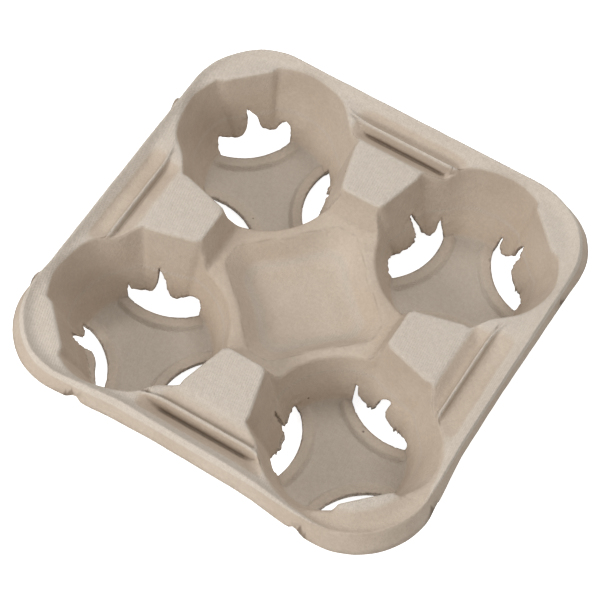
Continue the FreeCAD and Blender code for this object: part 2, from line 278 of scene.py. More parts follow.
def recess(x, y, z):
    """The square recess in the middle, turned by an eighth, negative in the air."""
    climb = np.minimum((z - RING_HEIGHT + RECESS_DEPTH) / RECESS_DEPTH, 1.0)
    half = RECESS_FLOOR_HALF + climb * (RECESS_HALF - RECESS_FLOOR_HALF)
    radius = RECESS_FLOOR_ROUND + climb * (RECESS_ROUND - RECESS_FLOOR_ROUND)
    u = np.abs(x + y) * DIAGONAL
    v = np.abs(x - y) * DIAGONAL
    pinch_u = RECESS_PINCH * np.exp(-(v / RECESS_PINCH_WIDTH) ** 2)
    pinch_v = RECESS_PINCH * np.exp(-(u / RECESS_PINCH_WIDTH) ** 2)
    bowl = square_distance(u + pinch_u, v + pinch_v, half, radius) * RECESS_COSINE
    return smooth_max(RING_HEIGHT - RECESS_DEPTH - z, bowl, BOWL_BLEND)


def without_pockets(x, y, z, with_rib=True):
    """Distance from the upper surface as it would be without the pockets."""
    side = np.where(np.abs(y) > np.abs(x), np.where(y > 0.0, 1, 3), np.where(x > 0.0, 0, 2))
    along = np.abs(np.where(side % 2 == 1, x, y) - np.take(GROOVE_SHIFT, side))
    x = np.abs(x)
    y = np.abs(y)
    far = np.maximum(x, y)
    body = rim(x, y, z)
    body = smooth_max(body, -outer_groove(side, along, far, lip_slope(x, y, z), z), GROOVE_BLEND)
    body = smooth_max(body, -inner_groove(side, along, far, z), GROOVE_BLEND)
    if with_rib:
        body = smooth_min(body, rib(along, far, z), GROOVE_BLEND)
    reach = BLOCK_FOOT + BLOCK_DRAFT * (z - RING_HEIGHT)
    basin = smooth_max(RING_HEIGHT - z, (far - reach) * BLOCK_COSINE, BASIN_BLEND)
    body = smooth_max(body, -basin, EDGE_BLEND)
    return smooth_max(body, -recess(x, y, z), EDGE_BLEND)


def solid(x, y, z, with_rib=True):
    """Distance from the upper surface, negative in the pulp and below it."""
    air = pocket_air(np.abs(x) - POCKET_MIDDLE, np.abs(y) - POCKET_MIDDLE, z)
    return smooth_max(without_pockets(x, y, z, with_rib), -air, CREST_BLEND)


def heights_of(kind, x, y, top=LIP_HEIGHT + 12.0, halvings=22):
    """Height at which a distance field changes sign, by halving."""
    low = np.full(x.shape, 1.0)
    high = np.full(x.shape, top)
    for _ in range(halvings):
        middle = 0.5 * (low + high)
        inside = kind(x, y, middle) < 0.0
        low = np.where(inside, middle, low)
        high = np.where(inside, high, middle)
    return 0.5 * (low + high)


def outline(u, half):
    """Point of a rounded outline in the first quadrant.

    u runs from 0 to 1 up the side, to 2 round the corner and to 3 back.
    """
    lip_inside = LIP_HALF - LIP_WIDTH
    radius = CORNER_RADIUS
    if half <= lip_inside:
        radius = CORNER_RADIUS - LIP_WIDTH - (lip_inside - half)
    elif half < LIP_HALF:
        radius = CORNER_RADIUS - (LIP_HALF - half)
    start = half - radius
    if u <= 1.0:
        return half, start * u
    if u >= 2.0:
        return start * (3.0 - u), half
    turn = (u - 1.0) * math.pi / 2
    return start + radius * math.cos(turn), start + radius * math.sin(turn)


def crest_radius(angles):
    """Where the wall of a pocket reaches the top around it."""
    radii = np.arange(*CREST_SEARCH, CREST_STEP)
    x = np.cos(angles)[:, None] * radii[None, :]
    y = np.sin(angles)[:, None] * radii[None, :]
    wall = heights_of(lambda a, b, z: -pocket_air(a, b, z), x, y)
    rest = heights_of(without_pockets, x + POCKET_MIDDLE, y + POCKET_MIDDLE)
    crest = radii[0] + CREST_STEP * (wall < rest).sum(axis=1)
    for _ in range(2):
        crest = 0.5 * crest + 0.25 * (np.roll(crest, 1) + np.roll(crest, -1))
    return crest


def outside_crest(x, y, crest, margin):
    """True outside the crest of the pocket by at least the margin."""
    px = x - POCKET_MIDDLE
    py = y - POCKET_MIDDLE
    turn = np.arctan2(py, px) % (2 * math.pi)
    steps = np.linspace(0.0, 2 * math.pi, len(crest) + 1)
    edge = np.interp(turn, steps, np.append(crest, crest[0]))
    return np.hypot(px, py) > edge + margin


def inside_band(x, y, margin):
    """True inside the innermost line of the band of slope, lip and skirt by at least the margin."""
    half = BAND_HALVES[0]
    return square_distance(x, y, half, CORNER_RADIUS - LIP_HALF + half) < -margin


def about_pocket(radius, turn):
    """Points at a radius round the pocket's axis."""
    return np.stack([radius * np.cos(turn), radius * np.sin(turn)], axis=1) + POCKET_MIDDLE


def beside_sills(points):
    """Distance in plan from the rows of points along the nearest sill's edge, 0 among them."""
    best = np.full(len(points), 99.0)
    for angle in PAD_ANGLES:
        turn = math.radians(angle)
        reach = np.hypot(points[:, 0] - SILL_MIDDLE * math.cos(turn),
                         points[:, 1] - SILL_MIDDLE * math.sin(turn))
        inside = SILL_RADIUS - reach
        past = np.maximum(SILL_LINES[0] - inside, inside - SILL_LINES[-1])
        best = np.minimum(best, np.maximum(past, 0.0))
    return best


def floor_rows():
    """Rings of points on a pocket's floor, apart from the edges of the sills."""
    rows = []
    for number, radius in enumerate(FLOOR_RINGS):
        count = max(1, round(2 * math.pi * radius / FLOOR_STEP))
        around = (np.arange(count) + 0.5 * (number % 2)) * 2 * math.pi / count
        ring = about_pocket(radius, around)
        rows.append(ring[beside_sills(ring - POCKET_MIDDLE) > 0.45])
    return rows


def sill_rows():
    """Rows of points along the edges of the sills."""
    rows = []
    for depth in SILL_LINES:
        for angle in PAD_ANGLES:
            middle = math.radians(angle)
            at = math.pi + middle + np.arange(-26, 27) * SILL_STEP / SILL_RADIUS
            px = SILL_MIDDLE * math.cos(middle) + (SILL_RADIUS - depth) * np.cos(at)
            py = SILL_MIDDLE * math.sin(middle) + (SILL_RADIUS - depth) * np.sin(at)
            keep = np.hypot(px, py) < FLOOR_RADIUS - 2.2
            rows.append(np.stack([px[keep], py[keep]], axis=1) + POCKET_MIDDLE)
    return rows


def wall_rows(turn, crest):
    """Rows of points up a pocket's wall to its crest, and just past it."""
    foot = FLOOR_RADIUS - 1.6
    rows = [about_pocket(foot + (crest - foot) * share, turn) for share in WALL_SHARES]
    for past in CREST_STEPS:
        ring = about_pocket(crest + past, turn)
        rows.append(ring[inside_band(ring[:, 0], ring[:, 1], 0.3) & (ring.min(axis=1) > 0.4)])
    return rows


def side_rows(crest):
    """Points on lines that follow the block, the grooves and the rib of both sides."""
    far, near = [a.ravel() for a in np.meshgrid(np.array(SIDE_LINES), np.arange(0.0, SIDE_END, SIDE_STEP))]
    keep = outside_crest(far, near, crest, CREST_STEPS[-1] + CREST_GAP) & (near < far)
    side = np.stack([far[keep], near[keep]], axis=1)
    return [side, side[:, ::-1]]


def plain_rows(crest):
    """An even grid on the corner deck and in the middle of the carrier."""
    line = np.arange(0.0, MIDDLE_END, MIDDLE_STEP)
    x, y = [a.ravel() for a in np.meshgrid(line, line)]
    middle = np.maximum(x, y) < SIDE_LINES[0] - 0.5
    corner = (x > POCKET_MIDDLE) & (y > POCKET_MIDDLE)
    keep = outside_crest(x, y, crest, CREST_STEPS[-1] + 0.6) & inside_band(x, y, 0.6) & (middle | corner)
    return [np.stack([x[keep], y[keep]], axis=1)]


def band_rows():
    """Points along the band of slope, lip and skirt."""
    corner = np.linspace(1.0, 2.0, 33)[1:]
    at = np.concatenate([np.linspace(0.0, 1.0, 35), corner, np.linspace(2.0, 3.0, 35)[1:]])
    return [np.array([outline(u, half) for u in at]) for half in BAND_HALVES]


def quadrant():
    """Points and faces of the upper surface at the +X +Y corner."""
    turn = np.arange(COLUMNS) * 2 * math.pi / COLUMNS
    crest = crest_radius(turn)
    rows = floor_rows() + sill_rows() + wall_rows(turn, crest)
    rows += side_rows(crest) + plain_rows(crest) + band_rows()
    points = np.concatenate(rows)
    points[np.abs(points) < 1e-6] = 0.0
    made = delaunay_2d_cdt([Vector(p) for p in points], [], [], 0, 1e-5)
    flat = np.array([tuple(v) for v in made[0]])
    flat[np.abs(flat) < 1e-6] = 0.0
    faces = []
    for face in made[2]:
        a, b, c = [flat[i] for i in face]
        area = (b[0] - a[0]) * (c[1] - a[1]) - (b[1] - a[1]) * (c[0] - a[0])
        if abs(area) > 1e-6:
            faces.append(tuple(face) if area > 0.0 else tuple(face)[::-1])
    return flat, faces


def whole_top():
    """The four quadrants in one, with their shared points merged."""
    points, faces = quadrant()
    places = []
    cells = []
    shared = {}
    for sx, sy in ((1, 1), (1, -1), (-1, -1), (-1, 1)):
        number = {}
        heights = heights_of(solid, sx * points[:, 0], sy * points[:, 1], LIP_HEIGHT + 0.5, 18)
        for i, (x, y) in enumerate(points):
            if x < 1e-6 or y < 1e-6:
                key = (round(sx * x, 4) + 0.0, round(sy * y, 4) + 0.0)
                if key not in shared:
                    shared[key] = len(places)
                    places.append((sx * x, sy * y, heights[i]))
                number[i] = shared[key]
            else:
                number[i] = len(places)
                places.append((sx * x, sy * y, heights[i]))
        for face in faces:
            cell = tuple(number[i] for i in face)
            cells.append(cell if sx * sy > 0 else cell[::-1])
    return np.array(places), cells


# How the rim of this carrier departs from a true square: (degrees round the middle, millimetres outward
# at the lip, millimetres outward at the hem, millimetres down)
RIM_WARP = ((0, 2.9, 0.1, 0.0), (30, 3.0, 1.0, 0.0), (38, 2.5, 2.2, 0.3), (44, 2.2, 2.4, 0.4),
            (50, 0.6, 1.2, 0.2), (56, -0.1, 0.2, 0.0), (90, -0.2, 0.0, 0.0), (120, 0.0, 0.3, 0.0),
            (130, 0.6, 1.2, 0.4), (137, 0.0, 1.2, 0.6), (150, -0.1, 0.2, 0.0), (180, 0.2, 0.2, 0.0),
            (208, 0.1, 0.4, 0.0), (217, 1.4, 1.8, 0.2), (225, 2.3, 2.3, 0.5), (230, 2.9, 2.6, 0.5),
            (236, 2.3, 2.2, 0.3), (243, 0.7, 1.2, 0.0), (251, -0.8, 0.0, -0.3), (262, -0.2, -0.4, -0.4),
            (284, 0.2, 0.1, 0.0), (290, 0.7, 0.6, 0.5), (300, 2.7, 2.6, 2.6), (307, 3.0, 3.1, 3.8),
            (315, 3.3, 3.2, 4.2), (325, 3.5, 3.3, 3.6), (332, 3.3, 2.0, 1.8), (340, 2.7, 0.3, 0.4),
            (360, 2.9, 0.1, 0.0))


# The warp grows from nothing to full between these distances from the lip's outline, and the hem's own
# share of it begins at the last one
WARP_BAND = (-11.5, -0.5)
HEM_BAND = -1.0


def warped_rim(places):
    """Moves the points of the rim outward and down by the table."""
    x, y, z = places[:, 0], places[:, 1], places[:, 2]
    turn = np.degrees(np.arctan2(y, x)) % 360.0
    table = np.array(RIM_WARP, dtype=float)
    lip, hem, drop = [np.interp(turn, table[:, 0], table[:, k]) for k in (1, 2, 3)]
    start = LIP_HALF - CORNER_RADIUS
    nx = np.sign(x) * np.maximum(np.abs(x) - start, 0.0)
    ny = np.sign(y) * np.maximum(np.abs(y) - start, 0.0)
    size = np.maximum(np.hypot(nx, ny), 1e-6)
    inside = square_distance(np.abs(x), np.abs(y), LIP_HALF, CORNER_RADIUS)
    share = eased(inside, *WARP_BAND)
    low = np.clip((LIP_HEIGHT - z) / SKIRT_DROP, 0.0, 1.0) * (inside > HEM_BAND)
    out = (lip + (hem - lip) * low) * share
    return places + np.stack([nx / size * out, ny / size * out, -drop * share], axis=1)


# Windows, named by their pocket and the way they face from it: each edge as (degrees round the
# pocket from the window's middle, millimetres up the wall from its foot), from the left end over
# the flaps and slots to the right end. Below the foot the sill's arc closes them.
OPEN_FOOT = ((35.5, -30.0), (-35.5, -30.0))
WINDOW_EDGES = {
    ("far", 0): ((35.3, 0.0), (33.4, 7.0), (31.9, 10.6), (28.0, 8.6), (22.8, 6.3), (17.1, 5.0), (10.4, 6.0),
                 (6.2, 8.6), (4.4, 12.0), (3.3, 16.1), (4.2, 22.0), (1.6, 20.6), (-0.8, 18.8), (-4.4, 16.4),
                 (-5.9, 13.7), (-6.8, 10.5), (-9.4, 8.0), (-15.9, 6.2), (-21.1, 5.8), (-25.0, 9.2),
                 (-29.7, 11.4), (-33.2, 8.6), (-35.3, 0.0)),
    ("far", 120): ((35.3, 0.0), (33.0, 6.5), (29.0, 6.0), (22.0, 4.4), (12.0, 3.2), (6.0, 5.4), (4.6, 12.0),
                   (3.0, 17.5), (0.4, 16.4), (-1.6, 9.0), (-6.0, 4.0), (-18.0, 3.2), (-27.0, 5.0),
                   (-33.0, 8.4), (-35.3, 0.0)),
    ("far", 240): ((35.3, 0.0), (33.6, 5.4), (29.0, 3.2), (20.0, 2.0), (8.0, 2.6), (4.4, 9.0), (2.2, 16.5),
                   (-0.4, 15.4), (-2.4, 8.0), (-7.0, 2.2), (-18.0, 1.4), (-28.0, 4.0), (-33.4, 6.4),
                   (-35.3, 0.0)),
    ("right", 0): ((35.3, 0.0), (35.0, 4.0), (33.8, 9.6), (32.4, 9.8), (32.2, 3.0), (27.5, 0.6), (21.7, 1.5),
                   (18.6, 4.0), (15.1, 11.2), (11.4, 18.0), (8.8, 19.8), (6.0, 14.8), (7.6, 5.0), (4.6, 0.8),
                   (-4.0, -0.8), (-15.1, 0.2), (-24.0, 2.6), (-30.9, 5.0), (-34.4, 3.4), (-35.3, 0.0)),
    ("right", 120): ((35.3, 0.0), (33.6, 6.0), (31.0, 9.4), (28.0, 10.1), (21.7, 7.7), (14.0, 5.8),
                     (8.0, 5.2), (0.7, 4.2), (-4.9, 5.2), (-7.0, 9.0), (-6.0, 16.0), (-4.2, 23.4),
                     (-6.6, 24.0), (-10.3, 16.3), (-13.9, 11.3), (-16.5, 6.1), (-19.9, 2.3), (-23.7, 1.5),
                     (-28.6, 4.6), (-31.2, 10.0), (-32.6, 12.6), (-33.4, 7.0), (-35.3, 0.0)),
    ("right", 240): ((35.3, 0.0), (33.4, 7.0), (28.0, 6.2), (17.0, 3.4), (9.0, 4.4), (7.6, 12.0),
                     (5.4, 18.2), (3.0, 16.0), (2.0, 8.0), (-3.0, 3.6), (-17.0, 2.8), (-27.0, 5.4),
                     (-33.2, 7.4), (-35.3, 0.0)),
    ("near", 0): ((35.3, 0.0), (33.4, 8.0), (27.0, 6.6), (16.0, 4.0), (6.4, 5.0), (4.8, 12.0), (2.6, 19.4),
                  (0.2, 17.0), (-1.2, 9.0), (-6.4, 4.4), (-18.0, 3.4), (-27.0, 6.4), (-33.2, 9.0),
                  (-35.3, 0.0)),
    ("near", 120): ((35.3, 0.0), (34.6, 5.0), (34.0, 9.8), (32.4, 9.4), (31.6, 4.4), (27.9, 1.4),
                    (21.0, -0.2), (15.5, 0.0), (13.4, 3.6), (11.2, 8.6), (6.6, 12.2), (2.4, 13.8),
                    (-0.2, 13.2), (2.6, 5.4), (-0.5, 0.8), (-9.3, -0.8), (-17.0, -0.4), (-23.4, 1.1),
                    (-32.0, 3.2), (-35.3, 0.0)),
    ("near", 240): ((35.3, 0.0), (33.6, 8.0), (28.6, 8.4), (22.0, 4.4), (15.6, 1.4), (10.0, -1.4),
                    (5.1, -3.2), (0.6, -2.0), (-4.0, -3.4), (-9.6, -1.4), (-10.4, 5.0), (-8.2, 15.4),
                    (-9.8, 17.2), (-12.4, 9.0), (-14.2, 1.6), (-18.6, 0.0), (-22.7, 0.3), (-28.0, 2.4),
                    (-33.2, 5.4), (-35.3, 0.0)),
    ("left", 0): ((35.3, 0.0), (32.6, 4.0), (27.0, 0.2), (20.0, -2.0), (13.7, -3.3), (6.0, -5.0),
                  (0.4, -5.8), (-5.6, -5.2), (-9.8, -4.6), (-13.6, -1.6), (-11.4, 7.0), (-7.8, 14.6),
                  (-9.6, 18.4), (-13.0, 16.6), (-17.8, 9.0), (-22.6, 3.6), (-26.0, -0.4), (-30.0, 1.0),
                  (-33.8, 5.2), (-35.3, 0.0)),
    ("left", 120): ((35.3, 0.0), (33.2, 7.4), (27.0, 5.8), (18.0, 3.4), (8.0, 3.0), (4.0, 5.0), (3.0, 12.0),
                    (0.8, 18.0), (-2.0, 16.6), (-3.4, 8.0), (-8.0, 3.6), (-19.0, 3.0), (-28.0, 6.2),
                    (-33.2, 7.0), (-35.3, 0.0)),
    ("left", 240): ((35.3, 0.0), (35.0, 6.0), (34.3, 9.2), (32.0, 4.6), (28.6, 3.4), (21.0, 2.8),
                    (15.6, 2.3), (11.4, 4.6), (9.3, 8.0), (8.0, 15.0), (9.0, 20.4), (6.6, 18.0), (4.3, 15.3),
                    (0.8, 11.0), (-0.2, 6.5), (-5.7, 2.3), (-10.0, 2.8), (-15.5, 4.5), (-24.4, 7.1),
                    (-30.1, 8.0), (-33.4, 6.2), (-35.3, 0.0)),
}
POCKETS = {"right": (1, 1), "near": (1, -1), "left": (-1, -1), "far": (-1, 1)}

# The height that a window's edge is measured from, the height at which the wall is clear of the sills,
# millimetres of wall for one degree round, and how far from a pocket's axis and a window's middle it lies
FOOT_HEIGHT = 4.0
FOOT_CLEAR = 4.65
MM_PER_DEGREE = 0.56
WINDOW_FAR = 46.0
WINDOW_TURN = 50.0

# The distance given to points that no window is near
NO_WINDOW = 9.0


def outline_distance(x, y, corners):
    """Distance from a closed outline, negative inside."""
    best = np.full(x.shape, 1e9)
    inside = np.zeros(x.shape, dtype=bool)
    for (ax, ay), (bx, by) in zip(corners, corners[1:] + corners[:1]):
        dx = bx - ax
        dy = by - ay
        share = np.clip(((x - ax) * dx + (y - ay) * dy) / (dx * dx + dy * dy), 0.0, 1.0)
        best = np.minimum(best, np.hypot(x - ax - share * dx, y - ay - share * dy))
        crosses = (ay > y) != (by > y)
        with np.errstate(divide="ignore", invalid="ignore"):
            at = ax + (y - ay) * dx / dy
        inside ^= crosses & (x < at)
    return np.where(inside, -best, best)


def about_window(places, pocket, turn):
    """Each point as a window sees it: degrees round, millimetres up the wall, and the two plan distances."""
    sx, sy = POCKETS[pocket]
    px = places[:, 0] - sx * POCKET_MIDDLE
    py = places[:, 1] - sy * POCKET_MIDDLE
    angle = math.atan2(sy, sx) + math.radians(turn)
    p = px * math.cos(angle) + py * math.sin(angle)
    q = py * math.cos(angle) - px * math.sin(angle)
    reach = np.hypot(p, q)
    height = places[:, 2]
    up = np.where(height > FOOT_CLEAR, height - FOOT_HEIGHT, np.minimum(reach - FLOOR_RADIUS, 0.0))
    return np.degrees(np.arctan2(q, p)), up, p, q


def window_field(places):
    """Negative inside a window."""
    field = np.full(len(places), NO_WINDOW)
    for (pocket, turn), edge in WINDOW_EDGES.items():
        around, up, p, q = about_window(places, pocket, turn)
        close = (p > 0.0) & (np.hypot(p, q) < WINDOW_FAR) & (np.abs(around) < WINDOW_TURN)
        arc = np.hypot(p - WINDOW_REACH - WINDOW_RADIUS, q) - WINDOW_RADIUS
        corners = [(a * MM_PER_DEGREE, h) for a, h in edge + OPEN_FOOT[::-1]]
        near = np.where(close)[0]
        flat = outline_distance(around[near] * MM_PER_DEGREE, up[near], corners)
        field[near] = np.minimum(field[near], np.maximum(arc[near], flat))
    return field


def clip(places, cells, field):
    """Keeps the part of the surface where the field is positive."""
    places = [tuple(p) for p in places]
    cut_at = {}
    kept = []
    for cell in cells:
        values = [field[i] for i in cell]
        if min(values) > 0.0:
            kept.append(cell)
            continue
        if max(values) <= 0.0:
            continue
        ring = []
        for k, a in enumerate(cell):
            b = cell[(k + 1) % len(cell)]
            if field[a] > 0.0:
                ring.append(a)
            if (field[a] > 0.0) != (field[b] > 0.0):
                key = (min(a, b), max(a, b))
                if key not in cut_at:
                    inner, outer = (a, b) if field[a] > 0.0 else (b, a)
                    share = field[inner] / (field[inner] - field[outer])
                    if share < 0.2:
                        cut_at[key] = inner
                    else:
                        cut_at[key] = len(places)
                        pa = np.array(places[inner])
                        pb = np.array(places[outer])
                        places.append(tuple(pa + share * (pb - pa)))
                ring.append(cut_at[key])
        clean = [v for k, v in enumerate(ring) if v != ring[k - 1]]
        if len(set(clean)) >= 3 and len(set(clean)) == len(clean):
            kept.append(tuple(clean))
    return np.array(places), kept


def normals_of(places, cells):
    """Normals of the points, each face counting by its area."""
    normals = np.zeros_like(places)
    for size in (3, 4, 5, 6):
        group = np.array([c for c in cells if len(c) == size])
        if len(group) == 0:
            continue
        ring = places[group]
        total = np.zeros((len(group), 3))
        for k in range(size):
            total += np.cross(ring[:, k], ring[:, (k + 1) % size])
        for k in range(size):
            np.add.at(normals, group[:, k], total)
    return normals / np.maximum(np.linalg.norm(normals, axis=1, keepdims=True), 1e-9)


# The search for the lower side: millimetres to start with, to measure a slope over and to move at most, and
# how often it is repeated
UNDER_START = 0.8
SLOPE_STEP = 0.05
UNDER_MOVE = 1.5
UNDER_ROUNDS = 6


def under_side(places, normals):
    """Each point's partner on the lower surface, one wall further in."""
    low = places - UNDER_START * normals
    step = SLOPE_STEP
    for _ in range(UNDER_ROUNDS):
        x, y, z = low[:, 0], low[:, 1], low[:, 2]
        here = solid(x, y, z, with_rib=False)
        slope = np.stack([solid(x + step, y, z, with_rib=False) - here,
                          solid(x, y + step, z, with_rib=False) - here,
                          solid(x, y, z + step, with_rib=False) - here], axis=1) / step
        size = np.maximum((slope ** 2).sum(axis=1), 0.3)
        move = np.clip((-WALL - here) / size, -UNDER_MOVE, UNDER_MOVE)
        low = low + move[:, None] * slope
    low[:, 2] = np.maximum(low[:, 2], 0.0)
    return low


def painted_shade_share(places, normals, reach):
    """How far the upper surface closes in over each point, 0 on a flat place and towards 1 in a crease: the
    share of painted shade there.
    """
    out = places + reach * normals
    return np.clip(1.0 - solid(out[:, 0], out[:, 1], out[:, 2]) / reach, 0.0, 1.0)


# Millimetres: the wall's waves and ripples, the wrinkles beside the windows, and how far they reach
WAVE_HEIGHT = 0.16
RIPPLE_HEIGHT = 0.07
RIPPLE_SHIFT = Vector((7.0, 3.0, 1.0))
FOLD_HEIGHT = 0.75
RIDGE_HEIGHT = 0.35
WRINKLE_WIDTH = 7.5


def roughened(places, normals, field):
    """Adds the waviness of the pulp, and its wrinkles beside the windows."""
    moved = places.copy()
    for i, (p, normal) in enumerate(zip(places, normals)):
        at = Vector(p)
        lift = WAVE_HEIGHT * noise.noise(at * 0.11) + RIPPLE_HEIGHT * noise.noise(at * 0.33 + RIPPLE_SHIFT)
        beside = max(0.0, 1.0 - abs(field[i]) / WRINKLE_WIDTH)
        if beside > 0.0 and p[2] > FOOT_CLEAR:
            fold = noise.noise(Vector((p[0] * 0.22, p[1] * 0.22, p[2] * 0.85)))
            ridge = 1.0 - 2.0 * abs(noise.noise(Vector((p[0] * 0.3 + 9.0, p[1] * 0.3, p[2] * 0.6))))
            lift += beside * (FOLD_HEIGHT * fold + RIDGE_HEIGHT * ridge * fold)
        moved[i] += lift * normal
    return moved


def open_edges(cells):
    """Directed edges that belong to one face only."""
    seen = set()
    for cell in cells:
        for k, a in enumerate(cell):
            seen.add((a, cell[(k + 1) % len(cell)]))
    return [edge for edge in seen if (edge[1], edge[0]) not in seen]


# How far the edges bulge, the reaches over which the painted shade of creases and hollows is measured, the
# width of the frayed edge, and the height below which the lower side stays flat on the floor
EDGE_BULGE = 0.35
CREASE_SHADE_REACH = 1.6
HOLLOW_SHADE_REACH = 6.0
TORN_WIDTH = 2.6
FLAT_FOOT = 0.3
MM = 0.001


def edge_strips(places, low, cells):
    """Closes the open edges between both surfaces, by two rows of faces that bulge outward."""
    count = len(places)
    edges = sorted(open_edges(cells))
    outward = {}
    for a, b in edges:
        side = np.cross(places[b] - places[a], places[a] - low[a])
        side = side / max(np.linalg.norm(side), 1e-9)
        for end in (a, b):
            outward[end] = outward.get(end, 0.0) + side
    middle = {}
    points = []
    for i, side in outward.items():
        side = side / max(np.linalg.norm(side), 1e-9)
        middle[i] = 2 * count + len(points)
        points.append(tuple(0.5 * (places[i] + low[i]) - EDGE_BULGE * side))
    faces = []
    for a, b in edges:
        faces.append((b, a, middle[a], middle[b]))
        faces.append((middle[b], middle[a], a + count, b + count))
    return points, faces


def add_layer(mesh, name, values, under, edge):
    """Stores a number at each point: of the upper surface, of the lower one and of the edges between them."""
    numbers = np.concatenate([values, under, np.full(len(mesh.vertices) - 2 * len(values), edge)])
    layer = mesh.attributes.new(name, "FLOAT", "POINT")
    layer.data.foreach_set("value", numbers.astype(np.float32))


def open_surface():
    """The upper surface with its windows cut out: points, faces and distances from the windows."""
    places, cells = whole_top()
    places, cells = clip(places, cells, window_field(places))
    field = window_field(places)
    used = sorted({i for cell in cells for i in cell})
    renumber = {old: new for new, old in enumerate(used)}
    cells = [tuple(renumber[i] for i in cell) for cell in cells]
    return places[used], cells, field[used]


def build_shell():
    """The whole carrier as one closed mesh."""
    places, cells, field = open_surface()
    normals = normals_of(places, cells)
    low = under_side(places, normals)
    # painted shade: how much each point is darkened as a tight crease
    crease_shade_share = painted_shade_share(places, normals, CREASE_SHADE_REACH)
    # painted shade: how much each point is darkened as a broad hollow
    hollow_shade_share = painted_shade_share(places, normals, HOLLOW_SHADE_REACH)
    rough = roughened(places, normals, field)
    moved = low + (rough - places) * (low[:, 2:] > FLAT_FOOT)
    low = warped_rim(np.maximum(moved, [-np.inf, -np.inf, 0.0]))
    places = warped_rim(rough)
    count = len(places)
    edge_points, edge_faces = edge_strips(places, low, cells)
    points = [tuple(p) for p in places] + [tuple(p) for p in low] + edge_points
    faces = list(cells) + [tuple(i + count for i in reversed(cell)) for cell in cells] + edge_faces
    mesh = bpy.data.meshes.new("carrier_shell")
    mesh.from_pydata([tuple(v * MM for v in p) for p in points], [], faces)
    nothing = np.zeros(count)
    torn = np.clip(1.0 - field / TORN_WIDTH, 0.0, 1.0)
    # the shares of painted shade in creases and hollows, stored for the material
    add_layer(mesh, "crease_shade_share", crease_shade_share, nothing, 0.0)
    add_layer(mesh, "hollow_shade_share", hollow_shade_share, nothing, 0.0)
    add_layer(mesh, "torn", torn, torn, 1.0)
    mesh.validate()
    mesh.update()
    mesh.shade_smooth()
    shell = bpy.data.objects.new("carrier_shell", mesh)
    bpy.context.scene.collection.objects.link(shell)
    return shell


# Colours as they look on a screen
TAN_LOW = (197, 180, 162)
TAN_HIGH = (206, 191, 174)
BLOTCH_TAN = (188, 170, 152)
FLOOR_GREY = (204, 195, 183)
TOP_PALE = (220, 211, 199)
# Painted shade in the creases: the colour they are darkened towards
CREASE_PAINTED_SHADE = (112, 96, 82)
# Painted shade in the broad hollows: the colour they are darkened towards
HOLLOW_PAINTED_SHADE = (140, 122, 106)
FRAYED_BROWN = (122, 103, 88)
SPECK_BROWN = (160, 143, 126)
PINHOLE_BROWN = (84, 70, 60)
WEAVE_BROWN = (150, 136, 122)

# Scales of the noises, per metre, and radians per metre of the forming screen's weave
BROAD_SCALE = 24.0
BLOTCH_SCALE = 110.0
GRAIN_SCALE = 650.0
FIBRE_SCALE = 1100.0
PINHOLE_SCALE = 62.0
PINHOLE_FIELDS = 19.0
WEAVE_TURNS = 6200.0

# Heights in metres between which the screened faces begin and end
FLOOR_BEGINS = (0.0005, 0.0015)
FLOOR_ENDS = (0.003, 0.0062)
TOP_BEGINS = (0.0444, 0.0455)
BOWL_BEGINS = (0.0199, 0.0212)
BOWL_ENDS = (0.0215, 0.0235)


class Nodes:
    """Short calls for building a material."""

    def __init__(self, name):
        self.material = bpy.data.materials.new(name)
        self.material.use_nodes = True
        self.tree = self.material.node_tree
        self.tree.nodes.clear()

    def add(self, kind, **inputs):
        """A node. An input goes by its name, with _ for a space, or by i and its number."""
        node = self.tree.nodes.new(kind)
        for key, value in inputs.items():
            name = key.replace("_", " ")
            self.fill(node.inputs[name] if name in node.inputs else node.inputs[int(key[1:])], value)
        return node

    def fill(self, socket, value):
        if isinstance(value, bpy.types.NodeSocket):
            self.tree.links.new(value, socket)
        else:
            socket.default_value = value

    def math(self, operation, a, b=0.0):
        node = self.add("ShaderNodeMath", i0=a, i1=b)
        node.operation = operation
        return node.outputs[0]

    def times(self, a, b):
        return self.math("MULTIPLY", a, b)

    def noise(self, place, scale, detail, rough, distortion=0.0):
        node = self.add("ShaderNodeTexNoise", Vector=place, Scale=scale, Detail=detail, Roughness=rough,
                        Distortion=distortion)
        return node.outputs["Fac"]

    def ramp(self, value, low, high, to_low=0.0, to_high=1.0):
        node = self.add("ShaderNodeMapRange", Value=value, i1=low, i2=high, i3=to_low, i4=to_high)
        node.interpolation_type = "SMOOTHSTEP"
        return node.outputs[0]

    def toward(self, share, colour, screen_colour):
        """Mixes a colour given as it looks on a screen over another."""
        node = self.tree.nodes.new("ShaderNodeMix")
        node.data_type = "RGBA"
        for socket, value in ((0, share), (6, colour), (7, linear(*screen_colour))):
            self.fill(node.inputs[socket], value)
        return node.outputs[2]

    def layer(self, name):
        """The numbers stored in the mesh under a name."""
        node = self.add("ShaderNodeAttribute")
        node.attribute_name = name
        return node.outputs["Fac"]

    def finish(self, shader):
        out = self.add("ShaderNodeOutputMaterial")
        self.tree.links.new(shader.outputs[0], out.inputs["Surface"])
        return self.material


def linear(red, green, blue):
    """The linear colour of one given as it looks on a screen, 0 to 255."""
    return tuple(((v / 255.0 + 0.055) / 1.055) ** 2.4 for v in (red, green, blue)) + (1.0,)


